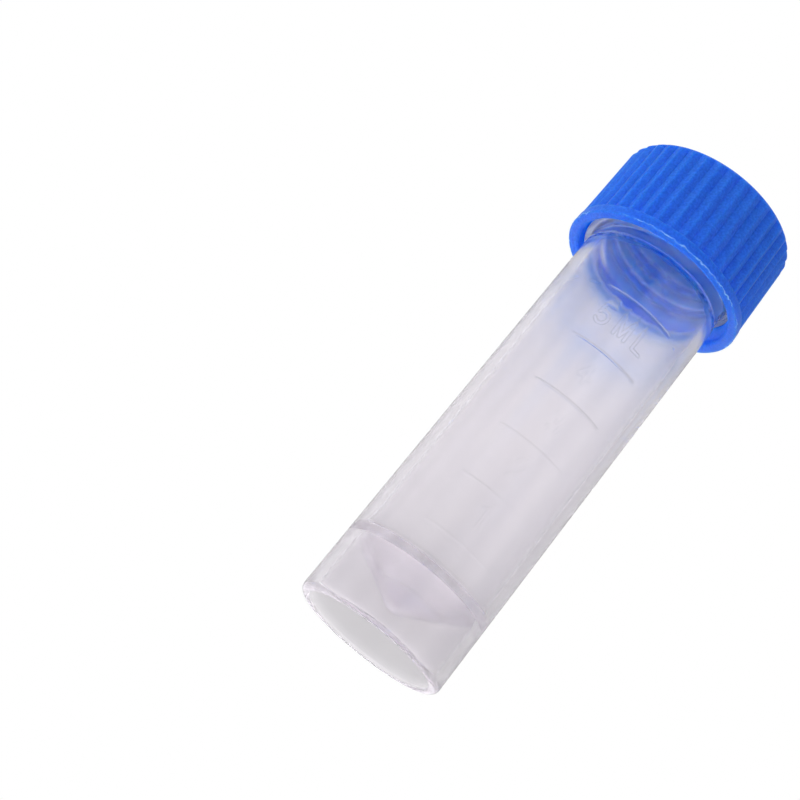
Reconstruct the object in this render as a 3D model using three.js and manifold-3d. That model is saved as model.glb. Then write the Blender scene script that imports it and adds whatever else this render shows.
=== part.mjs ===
// A 5 mL self-standing cryovial: a one-piece vial with a conical bottom, a skirt to stand on and an
// outside thread at its neck, a screw cap with a V-ribbed grip, and the washer that seals the two.
// Lengths are millimetres and angles degrees. +Z is up along the vial's axis; the skirt stands on z = 0.

import * as THREE from 'three';
import { mergeVertices } from 'three/addons/utils/BufferGeometryUtils.js';
import Module from 'manifold-3d';

const wasm = await Module();
wasm.setup();

// ---- driving dimensions -------------------------------------------------------------------------

// vial
const vial_height = 57.7;
const body_radius = 8.25; // outside, just under the neck
const body_draft_deg = 0.12; // the body widens this much towards its foot
const wall = 1.05;
const bottom_wall = 0.8;
const skirt_depth = 7.5; // from the foot up to the seam where the conical bottom leaves the wall
const skirt_draft_deg = 0.8; // the recess inside the skirt widens this much towards the foot
const cone_deg = 30; // slope of the conical bottom
const cone_tip_radius = 1.9; // rounding of the tip on the sample's side
const cone_fillet = 0.6; // where the cone meets the bore
const foot_fillet = 0.55;
const rim_round = 0.25;

// neck and its thread
const neck_length = 9.2; // shoulder to rim
const neck_step = 0.2; // how far the neck is set in from the body
const thread_pitch = 2.5;
const thread_height = 0.95;
const thread_crest = 0.45; // width of the ridge at its crest
const thread_flank_deg = 23;
const thread_turns = 2.75;
const thread_start_deg = 105;
const thread_start_rise = 1.0; // from the shoulder to the ridge's middle at its start
const thread_run_out_deg = 40; // over which a ridge rises from nothing to full height
const thread_embed = 0.2; // how deep a ridge's root lies in the wall that carries it

// fit between cap and neck
const rim_to_shoulder_gap = 0.5; // open slot between the cap's rim and the vial's shoulder
const crest_clearance = 0.35; // radial, thread crest to the opposite root
const flank_clearance = 0.35; // along the axis, on the loaded flank

// cap
const cap_roof = 1.5;
const cap_wall = 0.75; // at the valleys of the grip
const cap_draft_deg = 1.2;
const cap_shoulder_radius = 1.3;
const band_height = 1.15; // plain band at the open rim
const band_proud = 0.1; // beyond the ribs' crests
const rib_count = 40;
const rib_height = 0.4;
const grip_turn_deg = 268.4; // where one rib's crest stands when the cap is tight
const mouth_chamfer = 0.3;
const cap_thread_turns = 2.5;
const cap_thread_lead = 1.0; // from the cap's rim to the ridge's middle at its start
const locating_rib_width = 0.8;
const locating_rib_depth = 1.0;

// sealing washer
const seal_thickness = 0.9;
const seal_inner_radius = 5.6;
const seal_overhang = 0.25; // past the outside of the neck
const seal_clearance = 0.1; // above, below and round the locating rib

// facets
const segments = 72; // round the vial, the washer and the threads
const arc_steps = 4; // in each fillet

// how far a cutting body reaches past what it cuts
const cut_margin = 2;

// ---- derived dimensions -------------------------------------------------------------------------

const RAD = Math.PI / 180;
const bore_radius = body_radius - wall;
const shoulder_z = vial_height - neck_length;
const neck_radius = body_radius - neck_step;
const thread_radius = neck_radius + thread_height;
const foot_radius = body_radius + shoulder_z * Math.tan(body_draft_deg * RAD);

const seal_z = vial_height + seal_clearance;
const roof_z = seal_z + seal_thickness + seal_clearance;
const cap_top_z = roof_z + cap_roof;
const cap_rim_z = shoulder_z + rim_to_shoulder_gap;
const cap_bore_radius = thread_radius + crest_clearance;
const cap_thread_radius = neck_radius + crest_clearance;
const valley_radius = cap_bore_radius + cap_wall;
const crest_radius = valley_radius + rib_height;
const band_radius = crest_radius + band_proud;

// ---- shape helpers ------------------------------------------------------------------------------

const at = (radius, z) => new THREE.Vector2(radius, z);

// points of an arc round (cx, cy), from one angle to another, both ends included
function arc(cx, cy, radius, from_deg, to_deg) {
  return Array.from({ length: arc_steps + 1 }, (_, i) => {
    const angle = (from_deg + ((to_deg - from_deg) * i) / arc_steps) * RAD;
    return at(cx + radius * Math.cos(angle), cy + radius * Math.sin(angle));
  });
}

// a profile of (radius, z) points turned round the Z axis; going up the outside, the solid is inwards
function revolve(profile, count, turn_deg = 0) {
  return new THREE.LatheGeometry(profile, count).rotateX(Math.PI / 2).rotateZ(turn_deg * RAD);
}

// a closed solid through rings of equally many points, each ring flat-capped at the two ends; seen
// from the first ring towards the last, the points of a ring run clockwise
function loft(rings) {
  const size = rings[0].length;
  const vertices = rings.flat().flatMap((p) => [p.x, p.y, p.z]);
  const faces = [];
  for (let ring = 0; ring + 1 < rings.length; ring += 1) {
    for (let i = 0; i < size; i += 1) {
      const a = ring * size + i;
      const b = ring * size + ((i + 1) % size);
      faces.push(a, b, b + size, a, b + size, a + size);
    }
  }
  const last = (rings.length - 1) * size;
  for (let i = 1; i + 1 < size; i += 1) {
    faces.push(0, i + 1, i, last, last + i, last + i + 1);
  }
  const geometry = new THREE.BufferGeometry();
  geometry.setAttribute('position', new THREE.Float32BufferAttribute(vertices, 3));
  geometry.setIndex(faces);
  return geometry;
}

// the triangles of a geometry, without those that have no area because they meet on the axis
function soundTriangles(indexed) {
  const index = indexed.index.array;
  const kept = [];
  for (let i = 0; i < index.length; i += 3) {
    const [a, b, c] = [index[i], index[i + 1], index[i + 2]];
    if (a !== b && b !== c && c !== a) kept.push(a, b, c);
  }
  return new Uint32Array(kept);
}

function toSolid(geometry) {
  const bare = geometry.clone();
  bare.deleteAttribute('normal');
  bare.deleteAttribute('uv');
  const merged = mergeVertices(bare, 1e-5);
  const vertProperties = new Float32Array(merged.attributes.position.array);
  return new wasm.Manifold(new wasm.Mesh({ numProp: 3, vertProperties, triVerts: soundTriangles(merged) }));
}

function toGeometry(solid) {
  const mesh = solid.getMesh();
  const geometry = new THREE.BufferGeometry();
  geometry.setAttribute('position', new THREE.BufferAttribute(mesh.vertProperties, 3));
  geometry.setIndex(new THREE.BufferAttribute(mesh.triVerts, 1));
  geometry.computeVertexNormals();
  return geometry;
}

// ---- threads ------------------------------------------------------------------------------------

// height of the middle of the neck's ridge at an angle; the right-hand helix climbs one pitch a turn
const neckThreadZ = (deg) => shoulder_z + thread_start_rise + (thread_pitch * (deg - thread_start_deg)) / 360;

// The cap's ridge lies under the neck's ridge, because the squeezed washer pushes the cap up: at any
// radius the two half widths and the flank clearance lie between their middles.
const ridge_spacing = thread_crest + flank_clearance
  + Math.tan(thread_flank_deg * RAD) * (thread_radius - cap_thread_radius);

const capThreadZ = (deg) => neckThreadZ(deg) - ridge_spacing;

// A trapezoidal ridge along a helix, from its wall at root_radius to its crest. It stands out of the
// wall when the crest lies further from the axis than the root, and into the bore when it lies nearer.
function threadRidge(root_radius, crest_at, heightAt, start_deg, turns) {
  const outward = Math.sign(crest_at - root_radius);
  const full = Math.abs(crest_at - root_radius);
  const steps = Math.round(segments * turns);
  const rings = [];
  for (let i = 0; i <= steps; i += 1) {
    const travelled = (360 * turns * i) / steps;
    const left = 360 * turns - travelled;
    const rise = Math.min(1, travelled / thread_run_out_deg, left / thread_run_out_deg);
    const height = full * rise - (1 - rise) * (thread_embed / 2);
    const half_crest = thread_crest / 2;
    const half_root = half_crest + (height + thread_embed) * Math.tan(thread_flank_deg * RAD);
    const deg = start_deg + travelled;
    const direction = new THREE.Vector2(Math.cos(deg * RAD), Math.sin(deg * RAD));
    const corner = (radius, dz) =>
      new THREE.Vector3(radius * direction.x, radius * direction.y, heightAt(deg) + dz);
    const inside = root_radius - outward * thread_embed;
    const outside = root_radius + outward * height;
    const ring = [
      corner(inside, -half_root),
      corner(outside, -half_crest),
      corner(outside, half_crest),
      corner(inside, half_root),
    ];
    rings.push(outward > 0 ? ring.reverse() : ring);
  }
  return loft(rings);
}

// ---- vial ---------------------------------------------------------------------------------------

// A cone that falls from (radius, z) towards the axis, with a round tip; from the tip outwards.
function coneProfile(radius, z, tip_radius) {
  const sharp_z = z - radius * Math.tan(cone_deg * RAD);
  const centre_z = sharp_z + tip_radius / Math.cos(cone_deg * RAD);
  return [...arc(0, centre_z, tip_radius, -90, -90 + cone_deg), at(radius, z)];
}

// The bore's lower end: the same cone, one bottom_wall higher, with a fillet up into the bore.
function boreFloorProfile() {
  const seam_z = skirt_depth + bottom_wall / Math.cos(cone_deg * RAD);
  const floor = coneProfile(bore_radius, seam_z, cone_tip_radius);
  const reach = cone_fillet * (1 / Math.cos(cone_deg * RAD) - Math.tan(cone_deg * RAD));
  const centre_z = seam_z + reach;
  const fillet = arc(bore_radius - cone_fillet, centre_z, cone_fillet, -90 + cone_deg, 0);
  return [...floor.slice(0, -1), ...fillet];
}

function vialProfile() {
  const skirt_radius = bore_radius + skirt_depth * Math.tan(skirt_draft_deg * RAD);
  const underside = coneProfile(bore_radius, skirt_depth, cone_tip_radius + bottom_wall);
  const foot = [at(skirt_radius, 0), ...arc(foot_radius - foot_fillet, foot_fillet, foot_fillet, -90, 0)];
  const shoulder = [at(body_radius, shoulder_z), at(neck_radius, shoulder_z + neck_step)];
  const rim = [
    ...arc(neck_radius - rim_round, vial_height - rim_round, rim_round, 0, 90),
    ...arc(bore_radius + rim_round, vial_height - rim_round, rim_round, 90, 180),
  ];
  return [...underside, ...foot, ...shoulder, ...rim, ...boreFloorProfile().reverse()];
}

function vial() {
  const ridge = threadRidge(neck_radius, thread_radius, neckThreadZ, thread_start_deg, thread_turns);
  return toGeometry(toSolid(revolve(vialProfile(), segments)).add(toSolid(ridge)));
}

// ---- cap ----------------------------------------------------------------------------------------

// how much radius the drafted outside has lost at a height
const capDraft = (z) => (z - cap_rim_z) * Math.tan(cap_draft_deg * RAD);

// The cap as turned: roof, locating rib, bore, open rim and drafted outside, before its grip is cut.
function capBlankProfile() {
  const rib_outer = seal_inner_radius - seal_clearance;
  const rib_inner = rib_outer - locating_rib_width;
  const rib_z = roof_z - locating_rib_depth;
  const top_radius = band_radius - capDraft(cap_top_z);
  return [
    at(0, roof_z),
    at(rib_inner, roof_z),
    at(rib_inner, rib_z),
    at(rib_outer, rib_z),
    at(rib_outer, roof_z),
    at(cap_bore_radius, roof_z),
    at(cap_bore_radius, cap_rim_z + mouth_chamfer),
    at(cap_bore_radius + mouth_chamfer, cap_rim_z),
    at(band_radius, cap_rim_z),
    ...arc(top_radius - cap_shoulder_radius, cap_top_z - cap_shoulder_radius, cap_shoulder_radius, 0, 90),
    at(0, cap_top_z),
  ];
}

// one outline of the grip: a crest and a valley for each rib
function gripOutline(z) {
  return Array.from({ length: 2 * rib_count }, (_, i) => {
    const radius = (i % 2 === 0 ? crest_radius : valley_radius) - capDraft(z);
    const angle = grip_turn_deg * RAD + (i * Math.PI) / rib_count;
    return new THREE.Vector3(radius * Math.cos(angle), radius * Math.sin(angle), z);
  });
}

// What is cut away round the grip: a sleeve from the plain band up, with the ribs' outline as its hole.
// The valleys run out of themselves where the rounded shoulder falls below them.
function gripCutter() {
  const from_z = cap_rim_z + band_height;
  const to_z = cap_top_z + cut_margin;
  const reach = band_radius + cut_margin;
  const sleeve = new THREE.CylinderGeometry(reach, reach, to_z - from_z, 2 * rib_count);
  sleeve.rotateX(Math.PI / 2).translate(0, 0, (from_z + to_z) / 2);
  const ribbed = loft([gripOutline(from_z - cut_margin), gripOutline(to_z + cut_margin)]);
  return toSolid(sleeve).subtract(toSolid(ribbed));
}

function screwCap() {
  const start_z = cap_rim_z + cap_thread_lead;
  const start_deg = thread_start_deg + (360 * (start_z - capThreadZ(thread_start_deg))) / thread_pitch;
  const ridge = threadRidge(cap_bore_radius, cap_thread_radius, capThreadZ, start_deg, cap_thread_turns);
  const blank = toSolid(revolve(capBlankProfile(), 2 * rib_count, grip_turn_deg));
  return toGeometry(blank.subtract(gripCutter()).add(toSolid(ridge)));
}

// ---- sealing washer -----------------------------------------------------------------------------

function sealingRing() {
  const outer = neck_radius + seal_overhang;
  const top_z = seal_z + seal_thickness;
  const section = [
    at(seal_inner_radius, seal_z),
    at(outer, seal_z),
    at(outer, top_z),
    at(seal_inner_radius, top_z),
    at(seal_inner_radius, seal_z),
  ];
  return toGeometry(toSolid(revolve(section, segments)));
}

// ---- assembly -----------------------------------------------------------------------------------

const polypropylene = new THREE.MeshStandardMaterial({
  color: 0xe4e0ea,
  roughness: 0.3,
  metalness: 0,
  transparent: true,
  opacity: 0.45,
});
const blue_polyethylene = new THREE.MeshStandardMaterial({ color: 0x2a64d8, roughness: 0.45, metalness: 0 });
const silicone = new THREE.MeshStandardMaterial({ color: 0xe8e8e4, roughness: 0.6, metalness: 0 });

function part(name, geometry, material) {
  const mesh = new THREE.Mesh(geometry, material);
  mesh.name = name;
  return mesh;
}

const cryovial = new THREE.Group();
cryovial.add(part('vial', vial(), polypropylene));
cryovial.add(part('sealing_ring', sealingRing(), silicone));
cryovial.add(part('screw_cap', screwCap(), blue_polyethylene));

export default cryovial;
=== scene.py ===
"""A 5 mL self-standing cryovial: clear vial, ribbed blue screw cap and sealing washer.

Each solid is replaced by a finer skin of the same form. Lengths are millimetres and angles degrees,
unless a comment says metres; MM turns millimetres into metres. Angles run anticlockwise seen from
above, and FRONT is the side that carries the graduations.
"""

from math import cos, pi, radians, sin, tan

import bpy
import numpy as np
from mathutils import Matrix, Vector


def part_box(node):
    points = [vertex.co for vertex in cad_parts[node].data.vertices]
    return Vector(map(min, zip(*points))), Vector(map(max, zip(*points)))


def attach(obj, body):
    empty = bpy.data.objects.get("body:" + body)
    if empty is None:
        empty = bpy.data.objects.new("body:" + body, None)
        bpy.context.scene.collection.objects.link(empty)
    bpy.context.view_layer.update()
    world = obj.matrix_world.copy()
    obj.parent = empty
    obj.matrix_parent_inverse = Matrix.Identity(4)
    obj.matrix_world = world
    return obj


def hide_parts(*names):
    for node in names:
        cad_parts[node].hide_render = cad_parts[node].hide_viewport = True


MM = 0.001
FRONT = -90.0

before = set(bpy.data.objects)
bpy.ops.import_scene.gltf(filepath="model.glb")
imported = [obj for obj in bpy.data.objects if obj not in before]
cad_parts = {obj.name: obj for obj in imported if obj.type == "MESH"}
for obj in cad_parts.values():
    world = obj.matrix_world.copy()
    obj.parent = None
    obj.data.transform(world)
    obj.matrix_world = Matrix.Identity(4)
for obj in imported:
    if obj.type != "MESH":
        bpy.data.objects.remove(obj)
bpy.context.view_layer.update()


def corners(node):
    """The lowest and the highest corner of a node's box, in millimetres."""
    return tuple(np.array(corner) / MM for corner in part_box(node))


_, vial_high = corners("vial")
cap_low, cap_high = corners("screw_cap")
washer_low, washer_high = corners("sealing_ring")

# ---- sizes of the vial ----------------------------------------------------------------------------

VIAL_HEIGHT = vial_high[2]
BODY_RADIUS = 8.25  # outside, just under the neck
BODY_DRAFT = 0.12  # the body widens this much towards its foot
WALL = 1.05
BOTTOM_WALL = 0.8
SKIRT_DEPTH = 7.5  # from the foot up to the seam where the conical bottom leaves the wall
SKIRT_DRAFT = 0.8
CONE_SLOPE = 30.0
CONE_TIP = 1.9  # rounding of the tip on the sample's side
CONE_FILLET = 0.6  # where the cone meets the bore
SEAM_ROUND = 0.3
FOOT_FILLET = 0.55
INNER_FOOT_FILLET = 0.12
RIM_ROUND = 0.25
NECK_LENGTH = 9.2
NECK_STEP = 0.2  # how far the neck is set in from the body
SHOULDER_ROUND = 0.18

BORE_RADIUS = BODY_RADIUS - WALL
SHOULDER_Z = VIAL_HEIGHT - NECK_LENGTH
NECK_RADIUS = BODY_RADIUS - NECK_STEP
FOOT_RADIUS = BODY_RADIUS + SHOULDER_Z * tan(radians(BODY_DRAFT))
SKIRT_RADIUS = BORE_RADIUS + SKIRT_DEPTH * tan(radians(SKIRT_DRAFT))

# ---- sizes of the vial's thread -------------------------------------------------------------------

PITCH = 2.5
RIDGE_HEIGHT = vial_high[0] - NECK_RADIUS
RIDGE_CREST = 0.45  # width of the ridge at its crest
RIDGE_FLANK = 23.0
RIDGE_START = 105.0
RIDGE_RISE = 1.0  # from the shoulder to the ridge's middle at its start
RIDGE_TURNS = 2.75
RIDGE_RUN_OUT = 40.0  # over which a ridge rises from nothing to full height
RIDGE_ROUND = 0.16

# ---- sizes of the cap and the washer --------------------------------------------------------------

CAP_RIM_Z = cap_low[2]
CAP_TOP_Z = cap_high[2]
BAND_RADIUS = cap_high[0]
BAND_HEIGHT = 1.15
FLASH = 0.05  # the most that the flash stands out of the band
FLASH_MEAN = 0.02
FLASH_WANDER = 0.03
FLASH_SHARES = (0.35, 1.0, 0.3)  # of the flash, on the three rows that it moves
ROOF = 1.5
ROOF_Z = CAP_TOP_Z - ROOF
RIBS = 40
RIB_PHASE = FRONT - 1.6  # angle of one rib's crest
BAND_PROUD = 0.1  # how far the band stands out past the ribs
RIB_HEIGHT = 0.4
CREST_RADIUS = BAND_RADIUS - BAND_PROUD
VALLEY_RADIUS = CREST_RADIUS - RIB_HEIGHT
CREST_ROUND = 0.06  # as a share of half a rib's width
RIB_SETTLE = 0.1  # height over which the ribs rise out of the band
RIB_BLEND = 0.05  # softness of the change from ribs to shoulder
CAP_BORE = 9.35
CAP_DRAFT = 1.2
CAP_SHOULDER = 1.3
MOUTH_CHAMFER = 0.3
CAP_RIDGE_RADIUS = 8.4
CAP_RIDGE_LEAD = 1.0  # from the cap's rim to the ridge's middle at its start
CAP_RIDGE_TURNS = 2.5
FLANK_CLEARANCE = 0.35
WASHER_INNER = 5.6
WASHER_ROUND = 0.18
WASHER_GAP = 0.1  # between the washer and the locating rib
LOCATING_RIB = 0.8  # its thickness
LOCATING_RIB_DEPTH = 1.0

# ---- graduations ----------------------------------------------------------------------------------

# height of each line, how far it stands out, and how strongly painted shade marks its middle; a
# label stands above its line, and the top line has none
LINES = (
    (11.1, 0.008, 0.0),
    (17.05, 0.012, 0.06),
    (23.3, 0.016, 0.1),
    (29.3, 0.05, 0.12),
    (35.6, 0.065, 0.35),
    (42.1, 0.045, 0.1),
)
LINE_MIDDLE = 6.8  # angle from the front
LINE_HALF_SPAN = 27.5
LINE_WIDTH = 0.24

# glyph, angle of its left edge from the front, height of its foot, its own height, and how strongly
# painted shade marks its edge
LABELS = (
    ("1", 5.3, 13.4, 2.2, 0.15),
    ("2", 4.0, 19.35, 2.2, 0.15),
    ("3", 4.2, 25.6, 2.2, 0.2),
    ("4", -1.5, 31.5, 2.2, 0.25),
    ("5", -16.4, 37.95, 2.3, 1.0),
    ("M", 0.3, 37.95, 2.3, 1.0),
    ("L", 17.6, 37.95, 2.3, 1.0),
)
LABEL_PROUD = 0.01
STROKE_WIDTH = 0.36
MARK_EDGE = 0.1  # over which a mark rises to its full height
# width of the painted shade along the marks
OUTLINE_WIDTH = 0.16


def bend(centre, width, height, start, stop):
    """Points along part of an ellipse, as a stroke of a numeral."""
    angle = np.radians(np.linspace(start, stop, 14))
    return [(centre[0] + width * cos(a), centre[1] + height * sin(a)) for a in angle]


# strokes of each glyph, in a box one unit high
GLYPHS = {
    "1": [[(0.0, 0.80), (0.24, 1.0), (0.24, 0.0)]],
    "2": [bend((0.27, 0.72), 0.27, 0.28, 165, -35) + [(0.0, 0.0), (0.58, 0.0)]],
    "3": [bend((0.24, 0.76), 0.24, 0.24, 150, -90) + bend((0.25, 0.27), 0.28, 0.27, 90, -150)],
    "4": [[(0.42, 0.0), (0.42, 1.0), (0.0, 0.36), (0.64, 0.36)]],
    "5": [[(0.52, 1.0), (0.10, 1.0), (0.05, 0.55)] + bend((0.25, 0.31), 0.28, 0.31, 140, -150)],
    "M": [[(0.0, 0.0), (0.0, 1.0), (0.29, 0.05), (0.58, 1.0), (0.58, 0.0)]],
    "L": [[(0.0, 1.0), (0.0, 0.0), (0.44, 0.0)]],
}

# ---- spacing of rows and columns ------------------------------------------------------------------

COARSE_ROWS = 30  # on the vial's outside wall
ROWS_AT_LINE = 9
LABEL_MARGIN = 0.27  # rows stay close together this far below and above a label
LABEL_ROW_STEP = 0.18
CLEAR_LABEL_ROW_STEP = 0.065  # at the labels that show most
LEAST_ROW_GAP = 0.12  # from a coarse row to the nearest fine one
THREAD_ROW_STEP = 0.1
CAP_THREAD_ROW_STEP = 0.11
CONE_ROW_STEP = 0.9
SKIRT_ROW_STEP = 1.1
BORE_ROW_STEP = 1.6
WASHER_ROW_STEP = 0.6
WASHER_COLUMN_STEP = 2.5

# angles from the front between which the vial's columns are so many degrees apart
COLUMN_STEPS = ((-21.0, 30.0, 0.48), (30.0, 39.0, 1.0), (39.0, 339.0, 2.0))

# places of the cap's columns across a rib, as shares of its width from crest to crest
ACROSS_RIB = np.array([0.0, 0.035, 0.08, 0.17, 0.32, 0.45, 0.5, 0.55, 0.68, 0.83, 0.92, 0.965])

# ---- making surfaces ------------------------------------------------------------------------------


def steps(start, stop, step):
    """Evenly spaced numbers from start up to stop, stop left out, about step apart."""
    count = max(1, int(round(abs(stop - start) / step)))
    return start + (stop - start) * np.arange(count) / count


def straight(start, stop, step):
    """Points (radius, height) along a straight line, the last one left out."""
    length = float(np.hypot(*np.subtract(stop, start)))
    share = steps(0.0, 1.0, step / length)
    return np.outer(1 - share, start) + np.outer(share, stop)


def arc(centre, radius, start, stop, count):
    """Points (radius, height) along a circular arc, both ends included."""
    angle = np.radians(np.linspace(start, stop, count + 1))
    return np.stack([centre[0] + radius * np.cos(angle), centre[1] + radius * np.sin(angle)], 1)


def upright(radius, heights):
    """Points (radius, height) at the given heights; the radius may change with the height."""
    return np.stack([np.broadcast_to(radius, heights.shape), heights], 1)


def smooth(share):
    """The cubic 3s^2 - 2s^3 of a share held between 0 and 1."""
    share = np.clip(share, 0.0, 1.0)
    return share * share * (3.0 - 2.0 * share)


def joined(sections):
    """One profile from its named sections, and the slice of its rows that each section takes."""
    stops = np.cumsum([len(points) for points in sections.values()])
    rows = {name: slice(stop - len(sections[name]), stop) for name, stop in zip(sections, stops)}
    return np.concatenate(list(sections.values())), rows


def make_mesh(name, points, faces_of_four, faces_of_three):
    """A smooth-shaded mesh from points in millimetres and two index arrays of faces."""
    mesh = bpy.data.meshes.new(name)
    mesh.vertices.add(len(points))
    mesh.vertices.foreach_set("co", (np.asarray(points) * MM).astype(np.float32).ravel())
    indices = np.concatenate([faces_of_four.ravel(), faces_of_three.ravel()])
    sizes = np.concatenate([np.full(len(faces_of_four), 4), np.full(len(faces_of_three), 3)])
    starts = np.concatenate([[0], np.cumsum(sizes)[:-1]])
    mesh.loops.add(len(indices))
    mesh.loops.foreach_set("vertex_index", indices.astype(np.int32))
    mesh.polygons.add(len(sizes))
    mesh.polygons.foreach_set("loop_start", starts.astype(np.int32))
    mesh.polygons.foreach_set("use_smooth", np.ones(len(sizes), bool))
    mesh.update(calc_edges=True)
    mesh.validate()
    piece = bpy.data.objects.new(name, mesh)
    bpy.context.scene.collection.objects.link(piece)
    return piece


def carried_round(radius, height, angles):
    """The points (radius[i, j] cos a[j], radius[i, j] sin a[j], height[i, 0]) of a grid."""
    angle = np.radians(angles)
    return np.stack([radius * np.cos(angle), radius * np.sin(angle), height + 0 * radius], -1)


def turned(name, radius, height, angles):
    """A closed body round the Z axis, whose first and last rows lie on the axis and become one point
    each."""
    grid = carried_round(radius, height, angles)
    rows, columns = radius.shape
    ring = 1 + np.arange((rows - 2) * columns).reshape(rows - 2, columns)
    following = np.roll(ring, -1, axis=1)
    quads = np.stack([ring[:-1], following[:-1], following[1:], ring[1:]], -1).reshape(-1, 4)
    first = np.zeros(columns, int)
    last = np.full(columns, (rows - 2) * columns + 1)
    poles = np.concatenate([
        np.stack([first, following[0], ring[0]], -1),
        np.stack([ring[-1], following[-1], last], -1),
    ])
    points = np.concatenate([grid[0, :1], grid[1:-1].reshape(-1, 3), grid[-1, :1]])
    return make_mesh(name, points, quads, poles)


def turned_ring(name, radius, height, angles):
    """A closed ring round the Z axis, from a closed profile that is carried round it."""
    grid = carried_round(radius, height, angles)
    ring = np.arange(radius.size).reshape(radius.shape)
    across, up = np.roll(ring, -1, axis=1), np.roll(ring, -1, axis=0)
    quads = np.stack([ring, across, np.roll(across, -1, axis=0), up], -1).reshape(-1, 4)
    return make_mesh(name, grid.reshape(-1, 3), quads, np.zeros((0, 3), int))


# ---- threads --------------------------------------------------------------------------------------


def soft_step(share, rounding):
    """A ramp from 0 to 1 whose two corners are parabolas that reach rounding to each side of them."""

    def corner(x):
        parabola = (x + rounding) ** 2 / (4 * rounding)
        return np.where(x < -rounding, 0.0, np.where(x > rounding, x, parabola))

    return corner(share) - corner(share - 1.0)


def ridge(angles, height, height_at_start, start, turns, full):
    """How far a helical ridge stands out at each point of a grid. Its middle climbs one PITCH a turn;
    across the ridge the height is flat at the crest, falls along the flanks, and is rounded at both
    ends of a flank; along the helix it rises from nothing over the run-out."""
    result = np.zeros(np.broadcast(angles, height).shape)
    for turn in range(int(turns) + 1):
        travelled = np.mod(angles - start, 360.0) + 360.0 * turn
        left = 360.0 * turns - travelled
        proud = full * np.clip(np.minimum(travelled, left) / RIDGE_RUN_OUT, 0.0, 1.0)
        run = np.maximum(proud * tan(radians(RIDGE_FLANK)), 1e-6)
        off = np.abs(height - (height_at_start + PITCH * travelled / 360.0))
        share = (RIDGE_CREST / 2 + run - off) / run
        flank = soft_step(share, RIDGE_ROUND / np.maximum(run, RIDGE_ROUND))
        result = np.maximum(result, np.where(left >= 0, proud * flank, 0.0))
    return result


def neck_ridge(angles, height):
    """The vial's own thread, which stands out of its neck."""
    start_z = SHOULDER_Z + RIDGE_RISE
    return ridge(angles, height, start_z, RIDGE_START, RIDGE_TURNS, RIDGE_HEIGHT)


def cap_ridge(angles, height):
    """The cap's thread, which stands into its bore and pulls on the underside of the vial's thread. At
    every angle its middle lies below that one's by the width of a crest, the clearance, and the run of
    a flank over the depth to which the two ridges overlap."""
    overlap = NECK_RADIUS + RIDGE_HEIGHT - CAP_RIDGE_RADIUS
    spacing = RIDGE_CREST + FLANK_CLEARANCE + tan(radians(RIDGE_FLANK)) * overlap
    start_z = CAP_RIM_Z + CAP_RIDGE_LEAD
    start = RIDGE_START + 360.0 * (start_z - (SHOULDER_Z + RIDGE_RISE - spacing)) / PITCH
    return ridge(angles, height, start_z, start, CAP_RIDGE_TURNS, CAP_BORE - CAP_RIDGE_RADIUS)


# ---- vial -----------------------------------------------------------------------------------------


def distance_to(points, start, stop):
    """Distance of every point (x, y) from the segment between start and stop."""
    start, along = np.asarray(start, float), np.subtract(stop, start)
    share = np.clip(((points - start) @ along) / float(along @ along), 0.0, 1.0)
    return np.hypot(*np.moveaxis(points - start - share[..., None] * along, -1, 0))


def marks(angles, height):
    """How far the raised lines and labels stand out of the wall at each point of a grid: full height
    inside a stroke, nothing outside it, and a smooth edge between. The second grid is painted shade
    along the marks, for the dark lines that refraction draws at their edges: it falls off evenly on
    both sides of a line's middle or of a label's edge."""
    aside = (angles - FRONT + 180.0) % 360.0 - 180.0
    points = np.stack(np.broadcast_arrays(np.radians(aside) * BODY_RADIUS, height), -1)
    start, stop = (radians(LINE_MIDDLE + side * LINE_HALF_SPAN) * BODY_RADIUS for side in (-1, 1))
    proud = np.zeros(points.shape[:-1])
    painted_mark_shade = np.zeros(points.shape[:-1])
    for line_z, relief, clearness in LINES:
        off = distance_to(points, (start, line_z), (stop, line_z))
        proud = np.maximum(proud, relief * smooth(0.5 - (off - LINE_WIDTH / 2) / MARK_EDGE))
        painted_mark_shade = np.maximum(painted_mark_shade, clearness * np.clip(1.0 - off / OUTLINE_WIDTH, 0.0, 1.0))
    for glyph, left, foot, tall, clearness in LABELS:
        origin = np.array([np.radians(left) * BODY_RADIUS, foot])
        paths = [origin + np.array(stroke) * tall for stroke in GLYPHS[glyph]]
        segments = [ends for path in paths for ends in zip(path[:-1], path[1:])]
        edge = np.min([distance_to(points, *ends) for ends in segments], axis=0) - STROKE_WIDTH / 2
        proud = np.maximum(proud, LABEL_PROUD * smooth(0.5 - edge / MARK_EDGE))
        shown = np.clip(1.0 - np.abs(edge) / (OUTLINE_WIDTH / 2), 0.0, 1.0)
        painted_mark_shade = np.maximum(painted_mark_shade, clearness * shown)
    return proud, painted_mark_shade


def outer_heights():
    """Heights of the rows of the outside wall: close together where lines and labels are, closest
    where a label shows most. Coarse rows near a fine one are left out, but for the first and last."""
    coarse = np.linspace(FOOT_FILLET, SHOULDER_Z - SHOULDER_ROUND, COARSE_ROWS)
    near_line = np.linspace(-LINE_WIDTH, LINE_WIDTH, ROWS_AT_LINE)
    at_lines = [line_z + near_line for line_z, _, _ in LINES]
    at_labels = [
        np.arange(
            foot - LABEL_MARGIN,
            foot + tall + LABEL_MARGIN,
            CLEAR_LABEL_ROW_STEP if clearness == 1.0 else LABEL_ROW_STEP,
        )
        for foot, tall, clearness in sorted({label[2:] for label in LABELS})
    ]
    fine = np.concatenate(at_lines + at_labels)
    far = np.abs(coarse[:, None] - fine[None, :]).min(1) > LEAST_ROW_GAP
    far[[0, -1]] = True
    return np.unique(np.round(np.concatenate([coarse[far], fine]), 4))


def vial_columns():
    """Angles of the columns: close together where the labels are."""
    return FRONT + np.concatenate([steps(*between) for between in COLUMN_STEPS])


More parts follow.
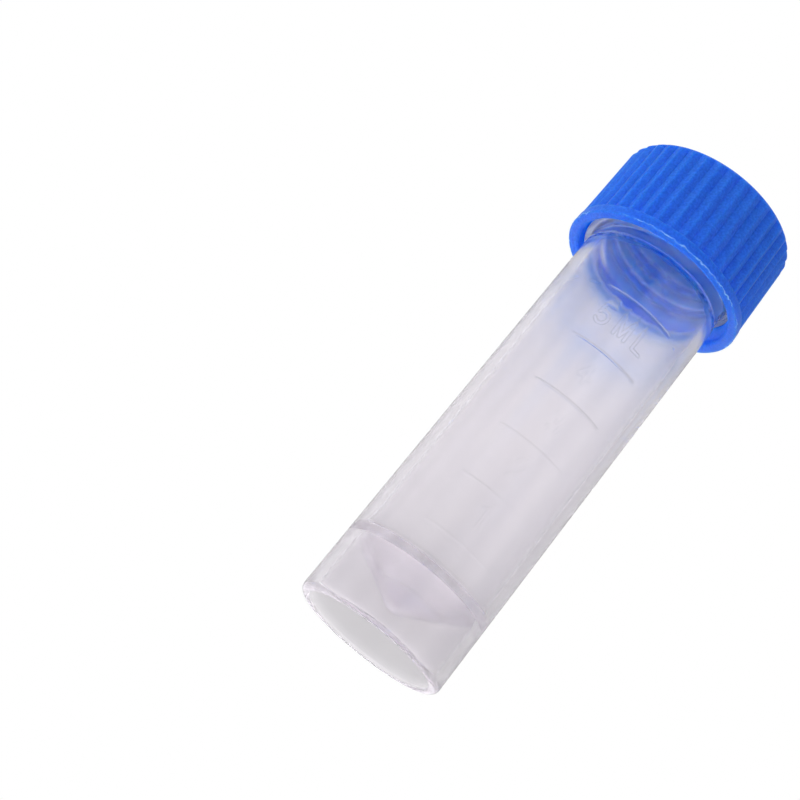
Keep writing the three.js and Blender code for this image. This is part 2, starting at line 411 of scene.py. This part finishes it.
def cone(radius, height, tip):
    """Where the straight part of a cone meets its round tip, and the tip's centre. The cone falls at
    CONE_SLOPE from the given radius and height, and the tip's circle touches it."""
    slope = radians(CONE_SLOPE)
    centre = height - radius * tan(slope) + tip / cos(slope)
    return (tip * sin(slope), centre - tip * cos(slope)), (0.0, centre)


def seam_round():
    """The rounded corner between the cone's underside and the inside of the skirt: the parabola
    (1 - s)^2 before + 2s(1 - s) corner + s^2 after."""
    reach = SEAM_ROUND * tan(radians(45 - CONE_SLOPE / 2))
    corner = np.array([BORE_RADIUS, SKIRT_DEPTH])
    before = corner - reach * np.array([cos(radians(CONE_SLOPE)), sin(radians(CONE_SLOPE))])
    after = corner + reach * np.array([tan(radians(SKIRT_DRAFT)), -1.0])
    share = np.linspace(0, 1, 6)[:, None]
    return (1 - share) ** 2 * before + 2 * share * (1 - share) * corner + share**2 * after


def vial_sections():
    """The vial's profile in sections, from the middle of the bottom's underside over foot, wall and rim
    to the middle of the floor inside."""
    join, tip_centre = cone(BORE_RADIUS, SKIRT_DEPTH, CONE_TIP + BOTTOM_WALL)
    seam = seam_round()
    inner_foot_centre = (SKIRT_RADIUS + INNER_FOOT_FILLET, INNER_FOOT_FILLET)
    heights = outer_heights()
    neck_z = SHOULDER_Z + NECK_STEP + THREAD_ROW_STEP
    rim_z = VIAL_HEIGHT - RIM_ROUND
    slope = radians(CONE_SLOPE)
    floor_z = SKIRT_DEPTH + BOTTOM_WALL / cos(slope)
    floor_join, floor_centre = cone(BORE_RADIUS, floor_z, CONE_TIP)
    fillet_z = floor_z + CONE_FILLET * (1 / cos(slope) - tan(slope))
    fillet = arc((BORE_RADIUS - CONE_FILLET, fillet_z), CONE_FILLET, 0, -90 + CONE_SLOPE, 6)
    return {
        "tip": arc(tip_centre, CONE_TIP + BOTTOM_WALL, -90, -90 + CONE_SLOPE, 7)[:-1],
        "cone": straight(join, seam[0], CONE_ROW_STEP),
        "seam": seam,
        "skirt": straight(seam[-1], (SKIRT_RADIUS, INNER_FOOT_FILLET), SKIRT_ROW_STEP)[1:],
        "inner foot": arc(inner_foot_centre, INNER_FOOT_FILLET, 180, 270, 3),
        "foot": arc((FOOT_RADIUS - FOOT_FILLET, FOOT_FILLET), FOOT_FILLET, -90, 0, 7)[:-1],
        "outside": upright(FOOT_RADIUS + (BODY_RADIUS - FOOT_RADIUS) * heights / SHOULDER_Z, heights),
        "shoulder": np.array([
            (BODY_RADIUS, SHOULDER_Z - 0.12),
            (BODY_RADIUS - 0.02, SHOULDER_Z - 0.04),
            (BODY_RADIUS - 0.06, SHOULDER_Z + 0.03),
            (NECK_RADIUS + 0.05, SHOULDER_Z + NECK_STEP - 0.04),
            (NECK_RADIUS + 0.015, SHOULDER_Z + NECK_STEP + 0.03),
        ]),
        "neck": upright(NECK_RADIUS, np.arange(neck_z, rim_z, THREAD_ROW_STEP)),
        "outside of rim": arc((NECK_RADIUS - RIM_ROUND, rim_z), RIM_ROUND, 0, 90, 5),
        "inside of rim": arc((BORE_RADIUS + RIM_ROUND, rim_z), RIM_ROUND, 90, 180, 5),
        "bore": straight((BORE_RADIUS, rim_z), (BORE_RADIUS, fillet_z), BORE_ROW_STEP)[1:],
        "fillet": fillet,
        "floor": straight(fillet[-1], floor_join, CONE_ROW_STEP)[1:],
        "middle of floor": arc(floor_centre, CONE_TIP, -90 + CONE_SLOPE, -90, 6),
    }


def vial():
    """The vial's skin: its profile carried round the axis. The marks are added to the radius of the
    outside wall, and the thread to that of the shoulder and neck."""
    profile, rows = joined(vial_sections())
    columns = vial_columns()
    radius = np.repeat(profile[:, :1], len(columns), axis=1)
    height = profile[:, 1:]
    wall = rows["outside"]
    neck = slice(rows["shoulder"].start, rows["neck"].stop)
    painted_mark_shade = np.zeros(radius.shape)
    proud, painted_mark_shade[wall] = marks(columns[None, :], height[wall])
    radius[wall] += proud
    radius[neck] += neck_ridge(columns[None, :], height[neck])
    piece = turned("vial_skin", radius, height, columns)
    # the painted shade along the marks goes onto the mesh as a point attribute
    values = np.concatenate([painted_mark_shade[0, :1], painted_mark_shade[1:-1].ravel(), painted_mark_shade[-1, :1]])
    layer = piece.data.attributes.new("painted_mark_shade", "FLOAT", "POINT")
    layer.data.foreach_set("value", values.astype(np.float32))
    return piece


# ---- cap ------------------------------------------------------------------------------------------


def cap_columns():
    """Angles of the columns: the same places across each rib, close together at its crest."""
    return RIB_PHASE + (np.arange(RIBS)[:, None] + ACROSS_RIB).ravel() * 360.0 / RIBS


def rib_share(columns):
    """1 on the crests and nearly 0 in the valleys, straight between, with the crests rounded as a
    hyperbola: 1 - (sqrt(a^2 + r^2) - r), where a goes from 0 on a crest to 1 in a valley."""
    place = np.mod((columns - RIB_PHASE) * RIBS / 360.0, 1.0)
    away = np.minimum(place, 1 - place) * 2
    return 1 - (np.sqrt(away**2 + CREST_ROUND**2) - CREST_ROUND)


def ragged(columns):
    """A fixed, uneven line round the cap, held between -1 and 2: a sum of sine waves of whole numbers
    of periods."""
    waves, fewest, most = 24, 46, 140
    random = np.random.default_rng(7)
    turns = random.integers(fewest, most, waves)
    phases = random.uniform(0, 2 * np.pi, waves)
    wave = np.sin(np.radians(columns)[:, None] * turns + phases).sum(1) / waves**0.5
    return np.clip(wave, -1, 2)


def cap_sections():
    """The cap's profile in sections and without its ribs, from the middle of the roof's underside over
    locating rib, bore, open rim, band, side and rounded shoulder to the middle of the top."""
    draft = tan(radians(CAP_DRAFT))
    rib_outer = WASHER_INNER - WASHER_GAP
    rib_inner = rib_outer - LOCATING_RIB
    rib_z = ROOF_Z - LOCATING_RIB_DEPTH
    rib_side = np.array([
        (-0.15, ROOF_Z), (-0.04, ROOF_Z - 0.04), (0.0, ROOF_Z - 0.15),
        (0.0, rib_z + 0.12), (0.04, rib_z + 0.03), (0.14, rib_z),
    ])
    chamfer_z = CAP_RIM_Z + MOUTH_CHAMFER
    band = BAND_RADIUS - FLASH
    band_z = CAP_RIM_Z + BAND_HEIGHT
    side_heights = np.concatenate([
        band_z + np.array([0.0, 0.05, 0.12, 0.25, 0.5]),
        np.linspace(band_z + 0.9, CAP_TOP_Z - CAP_SHOULDER - 0.4, 12),
        steps(CAP_TOP_Z - CAP_SHOULDER - 0.3, CAP_TOP_Z - CAP_SHOULDER, 0.15),
    ])
    top_radius = BAND_RADIUS - draft * (CAP_TOP_Z - CAP_RIM_Z)
    return {
        "middle of roof": np.array([(0.0, ROOF_Z), (1.5, ROOF_Z), (3.0, ROOF_Z)]),
        "inside of rib": rib_side + (rib_inner, 0),
        "outside of rib": rib_side[::-1] * (-1, 1) + (rib_outer, 0),
        "roof": np.array([
            (CAP_BORE - 1.5, ROOF_Z), (CAP_BORE - 0.25, ROOF_Z), (CAP_BORE - 0.08, ROOF_Z - 0.07),
        ]),
        "bore": upright(
            CAP_BORE, np.arange(ROOF_Z - 0.25, chamfer_z + 0.05, -CAP_THREAD_ROW_STEP)
        ),
        "mouth": np.array([
            (CAP_BORE, chamfer_z + 0.03),
            (CAP_BORE + 0.03, chamfer_z - 0.06),
            (CAP_BORE + MOUTH_CHAMFER - 0.06, CAP_RIM_Z + 0.04),
            (CAP_BORE + MOUTH_CHAMFER + 0.03, CAP_RIM_Z),
            ((CAP_BORE + BAND_RADIUS) / 2 + 0.1, CAP_RIM_Z),
            (band - 0.16, CAP_RIM_Z),
            (band - 0.05, CAP_RIM_Z + 0.03),
        ]),
        "flash": upright(band, CAP_RIM_Z + np.array([0.12, 0.22, 0.33])),
        "band": np.array([
            (band, CAP_RIM_Z + 0.5),
            (band, CAP_RIM_Z + 0.8),
            (band - 0.01, band_z - 0.12),
            (band - 0.04, band_z - 0.03),
        ]),
        "side": upright(band - draft * (side_heights - CAP_RIM_Z), side_heights),
        "shoulder": arc((top_radius - CAP_SHOULDER, CAP_TOP_Z - CAP_SHOULDER), CAP_SHOULDER, 0, 90, 16),
        "top": np.array([(radius, CAP_TOP_Z) for radius in (7.6, 6.6, 5.2, 3.6, 1.8, 0.0)]),
    }


def cap():
    """The cap's skin: its profile carried round the axis. The thread takes away from the radius of the
    bore, and the flash adds to the rim. Above the band the radius is the smaller of the profile's a and
    the ribs' b, with a soft change between them, (a + b - sqrt((a - b)^2 + r^2)) / 2, so that the ribs
    run out in the rounded shoulder."""
    profile, rows = joined(cap_sections())
    columns = cap_columns()
    radius = np.repeat(profile[:, :1], len(columns), axis=1)
    height = profile[:, 1:]
    radius[rows["bore"]] -= cap_ridge(columns[None, :], height[rows["bore"]])
    flash = np.clip(FLASH_WANDER * ragged(columns) + FLASH_MEAN, 0, FLASH)
    radius[rows["flash"]] += np.outer(FLASH_SHARES, flash)
    ribbed = slice(rows["side"].start, rows["shoulder"].stop)
    above_rim = height[ribbed] - CAP_RIM_Z
    ribs = VALLEY_RADIUS + (CREST_RADIUS - VALLEY_RADIUS) * rib_share(columns)[None, :]
    ribs = ribs - tan(radians(CAP_DRAFT)) * above_rim
    settled = smooth((above_rim - BAND_HEIGHT + 0.02) / RIB_SETTLE)
    ribs = radius[ribbed] * (1 - settled) + ribs * settled
    gap = radius[ribbed] - ribs
    radius[ribbed] = 0.5 * (radius[ribbed] + ribs - np.sqrt(gap**2 + RIB_BLEND**2 * settled))
    return turned("cap_skin", radius, height, columns)


# ---- washer ---------------------------------------------------------------------------------------


def washer():
    """A flat ring with softly rounded edges: its profile is a rectangle with four quarter rounds."""
    inner, outer = WASHER_INNER + WASHER_ROUND, washer_high[0] - WASHER_ROUND
    low, high = washer_low[2], washer_high[2]
    profile = np.concatenate([
        arc((outer, low + WASHER_ROUND), WASHER_ROUND, -90, 0, 4),
        arc((outer, high - WASHER_ROUND), WASHER_ROUND, 0, 90, 4),
        straight((outer, high), (inner, high), WASHER_ROW_STEP)[1:],
        arc((inner, high - WASHER_ROUND), WASHER_ROUND, 90, 180, 4),
        arc((inner, low + WASHER_ROUND), WASHER_ROUND, 180, 270, 4),
        straight((inner, low), (outer, low), WASHER_ROW_STEP)[1:],
    ])
    columns = np.arange(0, 360, WASHER_COLUMN_STEP)
    radius = np.repeat(profile[:, :1], len(columns), axis=1)
    return turned_ring("washer_skin", radius, profile[:, 1:], columns)


# ---- materials ------------------------------------------------------------------------------------

# a ray that has gone through more faces of clear plastic than this is deep in it, or very deep
DEEP_PASSES = 2.5
VERY_DEEP_PASSES = 3.5


class Nodes:
    """A short way of writing a node tree. Values are sockets or numbers; colours are three numbers."""

    def __init__(self, owner):
        owner.use_nodes = True
        self.tree = owner.node_tree
        self.tree.nodes.clear()

    def add(self, kind, inputs=(), **settings):
        """A new node, with its inputs linked or set and its settings made."""
        node = self.tree.nodes.new(kind)
        for key, value in settings.items():
            setattr(node, key, value)
        for key, value in dict(inputs).items():
            socket = node.inputs[key]
            if isinstance(value, bpy.types.NodeSocket):
                self.tree.links.new(value, socket)
            elif socket.type == "RGBA":
                socket.default_value = (*value, 1.0)
            else:
                socket.default_value = value
        return node

    def math(self, operation, *values, clamp=False):
        node = self.add("ShaderNodeMath", enumerate(values), operation=operation, use_clamp=clamp)
        return node.outputs[0]

    def times(self, first, second):
        return self.math("MULTIPLY", first, second)

    def noise(self, vector, scale, detail):
        settings = {"Vector": vector, "Scale": scale, "Detail": detail, "Roughness": 0.5}
        return self.add("ShaderNodeTexNoise", settings).outputs["Fac"]

    def span(self, value, from_low, from_high, to_low=0.0, to_high=1.0):
        """The value's place between two limits, carried over to two others and held between them."""
        limits = {"From Min": from_low, "From Max": from_high, "To Min": to_low, "To Max": to_high}
        return self.add("ShaderNodeMapRange", {"Value": value, **limits}).outputs["Result"]

    def pick(self, factor, low, high):
        """One number where the factor is 0, the other where it is 1."""
        return self.add("ShaderNodeMix", {0: factor, 2: low, 3: high}, data_type="FLOAT").outputs[0]

    def tint(self, factor, low, high):
        """One colour where the factor is 0, the other where it is 1."""
        return self.add("ShaderNodeMix", {0: factor, 6: low, 7: high}, data_type="RGBA").outputs[2]

    def blend(self, factor, first, second):
        """One surface where the factor is 0, the other where it is 1."""
        return self.add("ShaderNodeMixShader", {0: factor, 1: first, 2: second}).outputs[0]

    def diffuse(self, colour):
        return self.add("ShaderNodeBsdfDiffuse", {"Color": colour}).outputs[0]

    def place(self, along=1.0):
        """Object coordinates; along below 1 draws a pattern out along the axis."""
        place = self.add("ShaderNodeTexCoord").outputs["Object"]
        return self.add("ShaderNodeMapping", {"Vector": place, "Scale": (1.0, 1.0, along)}).outputs[0]

    def bump(self, height, strength, distance):
        settings = {"Strength": strength, "Distance": distance, "Height": height}
        return self.add("ShaderNodeBump", settings).outputs["Normal"]

    def round_the_axis(self, place):
        """Distance from the axis, share of a turn round it, and height."""
        x, y, z = self.add("ShaderNodeSeparateXYZ", {"Vector": place}).outputs
        distance = self.math("SQRT", self.math("ADD", self.times(x, x), self.times(y, y)))
        return distance, self.math("DIVIDE", self.math("ARCTAN2", y, x), 2 * pi), z

    def scattered_deep(self, rays):
        """1 for a transmitted ray that has bounced off something matt and is very deep in clear plastic.
        It goes by the ray's depths alone, wherever the ray is."""
        scattered = self.math("MINIMUM", rays["Diffuse Depth"], 1.0)
        passed = self.math("GREATER_THAN", rays["Transmission Depth"], VERY_DEEP_PASSES)
        return self.times(self.times(scattered, passed), rays["Is Transmission Ray"])

    def show(self, surface, output="ShaderNodeOutputMaterial"):
        """Makes this the surface that the tree gives."""
        self.add(output, {"Surface": surface})


def new_material(name):
    material = bpy.data.materials.new(name)
    return material, Nodes(material)


def below_shoulder(distance):
    """The height in metres of a place so many millimetres below the vial's shoulder."""
    return (SHOULDER_Z - distance) * MM


def clear_wall(nodes, z, within, on_thread):
    """The clear plastic itself: its colour and roughness are faintly clouded, and its skin has long
    soft waves and a fine grain. The colour is cooler at the neck. The bore gets matt towards the
    bottom, and the thread is matt."""
    place = nodes.place()
    cloud = nodes.noise(place, 160.0, 3.0)
    colour = nodes.tint(nodes.span(cloud, 0.3, 0.7), (0.95, 0.925, 0.962), (0.975, 0.95, 0.98))
    at_neck = nodes.span(z, below_shoulder(2.0), below_shoulder(-0.3))
    matt = nodes.times(within, nodes.span(z, below_shoulder(8.0), below_shoulder(18.0), 0.0, 0.14))
    matt = nodes.math("MULTIPLY_ADD", on_thread, 0.17, matt)
    waves = nodes.noise(nodes.place(along=0.1), 420.0, 2.0)
    relief = nodes.math("MULTIPLY_ADD", nodes.noise(place, 5200.0, 1.0), 0.1, waves)
    return nodes.add("ShaderNodeBsdfPrincipled", {
        "Base Color": nodes.tint(at_neck, colour, (0.955, 0.968, 0.99)),
        "Roughness": nodes.math("ADD", matt, nodes.span(cloud, 0.2, 0.8, 0.09, 0.13)),
        "IOR": 1.49,
        "Transmission Weight": 1.0,
        "Normal": nodes.bump(relief, 0.016, 0.00004),
    }).outputs[0]


def haze_in_wall(nodes, z, within):
    """Haze in the wall, and its share of what the wall shows. It grows towards the neck and is painted
    blue there, with the cap on or off: painted light that stands for the cap's blue light carried down
    the wall. Faint upright streaks of it run down the body, with some of the same painted blue. Light
    that has been caught in the wall adds white haze below the neck. The skirt's inside and the outside
    close under the shoulder have more of it, and the neck has none."""
    streaks = nodes.span(nodes.noise(nodes.place(along=0.1), 260.0, 1.5), 0.46, 0.66)
    streaks = nodes.times(streaks, nodes.span(z, 9.0 * MM, 30.0 * MM, 0.6, 1.0))
    caught = nodes.add("ShaderNodeLightPath").outputs["Glossy Depth"]
    straight_on = nodes.math("SUBTRACT", 1.0, caught, clamp=True)

    # painted light: the haze turns blue towards the cap, for the cap's blue light carried down the wall,
    # also with the cap off
    painted_cap_light_reach = nodes.span(z, below_shoulder(22.0), below_shoulder(7.0))
    blue = nodes.math("MULTIPLY_ADD", streaks, 0.22, nodes.math("POWER", painted_cap_light_reach, 1.4))
    blue = nodes.math("MULTIPLY", blue, straight_on, clamp=True)

    at_cap = nodes.math("POWER", nodes.span(z, below_shoulder(12.8), below_shoulder(6.3)), 2.0)
    at_cap = nodes.times(at_cap, nodes.span(z, below_shoulder(6.3), below_shoulder(4.0), 1.0, 0.45))
    share = nodes.math("MULTIPLY_ADD", at_cap, 0.22, 0.05)
    share = nodes.math("MULTIPLY_ADD", streaks, 0.13, share)

    spread = nodes.times(caught, nodes.span(z, below_shoulder(9.0), below_shoulder(3.0), 0.35, 0.0))
    spread = nodes.times(spread, nodes.span(z, 0.8 * MM, 2.5 * MM))
    skirt = nodes.span(z, (SKIRT_DEPTH - 0.9) * MM, (SKIRT_DEPTH - 1.5) * MM, 0.0, 0.2)
    spread = nodes.math("ADD", spread, nodes.times(within, skirt))
    share = nodes.math("ADD", spread, share, clamp=True)

    outside = nodes.span(z, below_shoulder(2.6), below_shoulder(0.1))
    outside = nodes.math("SUBTRACT", outside, within, clamp=True)
    outside = nodes.times(nodes.math("POWER", outside, 1.5), straight_on)
    share = nodes.math("MULTIPLY_ADD", outside, 0.8, share, clamp=True)
    share = nodes.times(share, nodes.span(z, below_shoulder(0.1), below_shoulder(0.0), 1.0, 0.0))

    # the blue is painted light from the cap, not a tint of the plastic
    colour = nodes.tint(blue, (0.95, 0.92, 0.96), (0.22, 0.42, 0.88))
    haze = nodes.add("ShaderNodeBsdfTranslucent", {"Color": colour}).outputs[0]
    return haze, share


def thread_edges(nodes, turn, z):
    """1 on two narrow lines that climb beside the vial's thread, each given by its height above the
    ridge's middle and by half its width."""
    at_start = (SHOULDER_Z + RIDGE_RISE) / PITCH - RIDGE_START / 360.0
    climbed = nodes.math("MULTIPLY_ADD", z, 1.0 / (PITCH * MM), -at_start)
    across = nodes.math("FRACT", nodes.math("SUBTRACT", climbed, turn))
    edges = [
        nodes.math("COMPARE", across, above / PITCH, half_width / PITCH)
        for above, half_width in ((1.55, 0.07), (0.63, 0.08))
    ]
    return nodes.math("ADD", *edges)


def clear_polypropylene():
    """Natural polypropylene: the clear wall with, where it is seen from within, a share of haze and
    two pale lines beside the thread, which are painted highlights standing for glints on its flanks;
    and painted shade along the raised marks, for the dark lines that refraction draws at their edges."""
    material, nodes = new_material("clear_polypropylene")
    from_axis, turn, z = nodes.round_the_axis(nodes.place())
    within = nodes.span(from_axis, (BORE_RADIUS + 0.1) * MM, (BORE_RADIUS - 0.1) * MM)
    above = nodes.span(z, below_shoulder(-0.1), below_shoulder(-0.3))
    on_thread = nodes.math("SUBTRACT", above, within, clamp=True)
    from_within = nodes.add("ShaderNodeNewGeometry").outputs["Backfacing"]

    wall = clear_wall(nodes, z, within, on_thread)
    haze, share = haze_in_wall(nodes, z, within)
    wall = nodes.blend(nodes.times(share, from_within), wall, haze)

    # painted highlight: a pale diffuse on two lines beside the thread, for glints on its flanks
    painted_thread_glints = nodes.diffuse((0.92, 0.92, 0.95))
    edges = nodes.times(thread_edges(nodes, turn, z), nodes.times(on_thread, from_within))
    wall = nodes.blend(nodes.times(edges, 0.45), wall, painted_thread_glints)

    # painted shade: a grey-blue diffuse laid along the marks, for the dark lines that refraction draws
    # at their edges
    mark_edge_shade = nodes.diffuse((0.42, 0.42, 0.56))
    painted_mark_shade = nodes.add("ShaderNodeAttribute", attribute_name="painted_mark_shade").outputs["Fac"]
    wall = nodes.blend(nodes.times(painted_mark_shade, 0.4), wall, mark_edge_shade)
    nodes.show(wall)
    return material


def blue_polyethylene():
    """Solid blue polyethylene with a satin skin: faint clouding of the pigment and a fine grain; a
    lighter blue painted on the inside of the bore, as painted light for light that gets into the cap;
    and a pale broken line where the flash stands at the rim, a painted highlight of the flash."""
    material, nodes = new_material("blue_polyethylene")
    place = nodes.place()
    from_axis, _, z = nodes.round_the_axis(place)
    cloud = nodes.noise(place, 300.0, 4.0)
    grain = nodes.noise(place, 4200.0, 2.0)
    pores = nodes.noise(place, 1500.0, 3.0)
    speckle = nodes.math("MULTIPLY_ADD", grain, 0.8, nodes.times(cloud, 0.2))
    colour = nodes.tint(nodes.span(speckle, 0.36, 0.64), (0.011, 0.118, 0.62), (0.022, 0.165, 0.76))

    # painted light: the bore's inside is painted a lighter blue than the outside, for light that gets
    # into the cap
    painted_bore_light = nodes.span(from_axis, (CAP_BORE + 0.2) * MM, (CAP_BORE + 0.05) * MM)
    painted_bore_light = nodes.times(painted_bore_light, nodes.span(z, (CAP_RIM_Z + 1.0) * MM, (CAP_RIM_Z + 2.5) * MM))
    painted_bore_light = nodes.times(painted_bore_light, nodes.span(z, (ROOF_Z + 0.4) * MM, (ROOF_Z + 0.2) * MM))
    colour = nodes.tint(painted_bore_light, colour, (0.004, 0.245, 0.86))

    # painted highlight: a pale broken line along the flash at the rim; the flash itself is in the mesh
    wander = nodes.span(pores, 0.3, 0.7, -0.12 * MM, 0.12 * MM)
    off = nodes.math("SUBTRACT", nodes.math("SUBTRACT", z, (CAP_RIM_Z + 0.13) * MM), wander)
    flash = nodes.span(nodes.math("ABSOLUTE", off), 0.02 * MM, 0.06 * MM, 1.0, 0.0)
    outermost = nodes.span(from_axis, (BAND_RADIUS - 0.3) * MM, (BAND_RADIUS - 0.15) * MM)
    flash = nodes.times(flash, outermost)
    flash = nodes.times(flash, nodes.span(nodes.noise(place, 380.0, 2.0), 0.42, 0.56, 0.0, 0.6))
    colour = nodes.tint(flash, colour, (0.42, 0.66, 0.98))

    relief = nodes.math("ADD", nodes.times(grain, 0.35), pores)
    nodes.show(nodes.add("ShaderNodeBsdfPrincipled", {
        "Base Color": colour,
        "Roughness": nodes.span(pores, 0.25, 0.75, 0.36, 0.5),
        "IOR": 1.5,
        "Specular IOR Level": 0.28,
        "Subsurface Weight": 1.0,
        "Subsurface Radius": (0.3, 0.85, 1.0),
        "Subsurface Scale": 0.0024,
        "Normal": nodes.bump(relief, 0.5, 0.00006),
    }).outputs[0])
    return material


def clear_silicone():
    """Soft silicone: see-through but cloudy, with a matt skin."""
    material, nodes = new_material("clear_silicone")
    cloud = nodes.noise(nodes.place(), 900.0, 3.0)
    nodes.show(nodes.add("ShaderNodeBsdfPrincipled", {
        "Base Color": nodes.tint(cloud, (0.80, 0.82, 0.84), (0.90, 0.91, 0.92)),
        "Roughness": nodes.span(cloud, 0.3, 0.7, 0.3, 0.45),
        "IOR": 1.41,
        "Transmission Weight": 0.85,
        "Normal": nodes.bump(cloud, 0.3, 0.00004),
    }).outputs[0])
    return material


# ---- the object -----------------------------------------------------------------------------------


def dress(piece, material, node, body):
    """Gives a skin its material, and puts it in the place of a node, on that node's body."""
    piece.data.materials.append(material)
    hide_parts(node)
    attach(piece, body)


dress(vial(), clear_polypropylene(), "vial", "vial")
dress(cap(), blue_polyethylene(), "screw_cap", "cap")
dress(washer(), clear_silicone(), "sealing_ring", "seal")

# ---- floor, light and camera: metres and degrees --------------------------------------------------

AMBIENT = 0.4  # level that lights what doesn't shine
DEEP_LEVEL = 4.3  # for scattered rays very deep in clear plastic, where white is 1
FLOOR_GLOW = 0.75  # the floor's level for the other rays through clear plastic
FLOOR_REACH = 0.6
FLOOR_FADE = (0.12, 0.45)  # distances between which the floor fades out
LAMP_DISTANCE = 0.5
AIM = (0, 0, 0.04)
CAMERA_PLACE = (0.0, -0.153327, -0.030913)
CAMERA_HEADING, CAMERA_CLIMB, CAMERA_LEAN = -4.691, 18.761, 39.903
CAMERA_LENS = 72.03


def floor():
    """A white sheet that is seen from above only and fades out away from the object. Rays that have
    come through clear plastic see it as an even glow, a stronger one if scattered and very deep."""
    mesh = bpy.data.meshes.new("floor")
    sides = ((-1, -1), (1, -1), (1, 1), (-1, 1))
    mesh.from_pydata([(x * FLOOR_REACH, y * FLOOR_REACH, 0) for x, y in sides], [], [(0, 1, 2, 3)])
    sheet = bpy.data.objects.new("floor", mesh)
    bpy.context.scene.collection.objects.link(sheet)
    material, nodes = new_material("white_sheet")
    place = nodes.add("ShaderNodeTexCoord").outputs["Object"]
    away = nodes.add("ShaderNodeVectorMath", {0: place}, operation="LENGTH").outputs["Value"]
    below = nodes.add("ShaderNodeNewGeometry").outputs["Backfacing"]
    unseen = nodes.math("MAXIMUM", below, nodes.span(away, *FLOOR_FADE))
    rays = nodes.add("ShaderNodeLightPath").outputs
    strength = nodes.pick(nodes.scattered_deep(rays), FLOOR_GLOW, DEEP_LEVEL)
    glow = nodes.add("ShaderNodeEmission", {"Color": (1.0, 1.0, 1.0), "Strength": strength})
    paper = nodes.diffuse((0.93, 0.93, 0.93))
    paper = nodes.blend(rays["Is Transmission Ray"], paper, glow.outputs[0])
    nodes.show(nodes.blend(unseen, paper, nodes.add("ShaderNodeBsdfTransparent").outputs[0]))
    mesh.materials.append(material)


def sines(low, high):
    """How far up two angles reach on a sphere one unit in radius."""
    return sin(radians(low)), sin(radians(high))


def room(nodes, rays):
    """What gloss and clear plastic show: a pale room. Its back wall gets lighter with height and to the
    left, and is an even grey in gloss. Its front wall has faint upright panels and is lighter at both
    sides; above, it is darker on the left and has a bright strip on the right, neither of which rays
    deep in the plastic see."""
    toward = nodes.add("ShaderNodeTexCoord").outputs["Generated"]
    side, depth, rise = nodes.add("ShaderNodeSeparateXYZ", {"Vector": toward}).outputs
    back = nodes.span(rise, *sines(11.0, 20.0), 0.57, 0.84)
    back = nodes.times(back, nodes.span(side, -0.35, 0.35, 1.14, 0.95))
    back = nodes.pick(rays["Is Transmission Ray"], 0.5, back)

    heading = nodes.math("ARCTAN2", side, nodes.times(depth, -1.0))
    panels = nodes.math("COSINE", nodes.math("MULTIPLY_ADD", heading, 8.0, -2.4))
    to_sides = nodes.math("MULTIPLY_ADD", nodes.times(side, side), 0.3, 0.75)
    panels = nodes.math("MULTIPLY_ADD", panels, 0.2, to_sides)
    left = nodes.span(rise, *sines(22.5, 25.5), 1.0, 0.5)
    strip = nodes.span(rise, *sines(24.0, 25.5), 1.0, 1.9)
    strip = nodes.times(strip, nodes.span(rise, *sines(28.0, 28.8), 1.0, 0.1))
    above = nodes.pick(nodes.span(side, 0.055, 0.07), left, strip)
    deep = nodes.math("GREATER_THAN", rays["Transmission Depth"], DEEP_PASSES)
    front = nodes.times(panels, nodes.pick(deep, above, 0.95))
    return nodes.pick(nodes.span(depth, -0.2, 0.2), front, back)


def studio():
    """White for the eye, the pale room for gloss and clear plastic, a brighter level for scattered
    rays very deep in the plastic, and a dimmer, even light for everything else."""
    world = bpy.data.worlds.new("studio")
    bpy.context.scene.world = world
    nodes = Nodes(world)
    rays = nodes.add("ShaderNodeLightPath").outputs
    level = nodes.pick(nodes.scattered_deep(rays), room(nodes, rays), DEEP_LEVEL)
    bounced = nodes.math("MAXIMUM", rays["Is Glossy Ray"], rays["Is Transmission Ray"])
    level = nodes.pick(bounced, AMBIENT, level)
    level = nodes.pick(rays["Is Camera Ray"], level, 1.0)
    white = nodes.add("ShaderNodeBackground", {"Color": (1.0, 1.0, 1.0), "Strength": level})
    nodes.show(white.outputs[0], "ShaderNodeOutputWorld")


def softbox(name, heading, rise, size, level):
    """A large lamp that faces the middle of the object and isn't itself seen. Its heading is measured
    from the front, positive to the right; its power gives its face the brightness level."""
    lamp = bpy.data.lights.new(name, "AREA")
    lamp.shape, lamp.size, lamp.size_y = "RECTANGLE", *size
    lamp.energy = level * pi * size[0] * size[1]
    holder = bpy.data.objects.new(name, lamp)
    bpy.context.scene.collection.objects.link(holder)
    holder.visible_camera = False
    holder.visible_transmission = False
    holder.visible_glossy = False
    aside, up = radians(heading), radians(rise)
    away = Vector((sin(aside) * cos(up), -cos(aside) * cos(up), sin(up)))
    holder.location = LAMP_DISTANCE * away + Vector(AIM)
    holder.rotation_mode = "QUATERNION"
    holder.rotation_quaternion = away.to_track_quat("Z", "Y")


def camera():
    """Stands in front of the vial and below its foot, looks up along its length, and leans."""
    heading, climb, lean = (radians(angle) for angle in (CAMERA_HEADING, CAMERA_CLIMB, CAMERA_LEAN))
    forward = Vector((sin(heading) * cos(climb), cos(heading) * cos(climb), sin(climb)))
    level = forward.cross(Vector((0, 0, 1))).normalized()
    plumb = level.cross(forward)
    right = cos(lean) * level + sin(lean) * plumb
    up = -sin(lean) * level + cos(lean) * plumb
    eye = bpy.data.cameras.new("camera")
    eye.sensor_width, eye.lens = 36.0, CAMERA_LENS
    eye.clip_start, eye.clip_end = 0.005, 20.0
    holder = bpy.data.objects.new("camera", eye)
    bpy.context.scene.collection.objects.link(holder)
    turn = Matrix((right, up, -forward)).transposed().to_4x4()
    holder.matrix_world = Matrix.Translation(CAMERA_PLACE) @ turn
    bpy.context.scene.camera = holder


floor()
studio()
softbox("key", -60, 28, (0.40, 0.30), 3.3)
softbox("window", 62, 25, (0.30, 0.30), 0.6)
softbox("ceiling", 0, 89, (0.50, 0.50), 1.2)
softbox("backdrop", 180, 25, (0.30, 0.50), 3.0)
camera()
bpy.context.scene.view_settings.view_transform = "Standard"
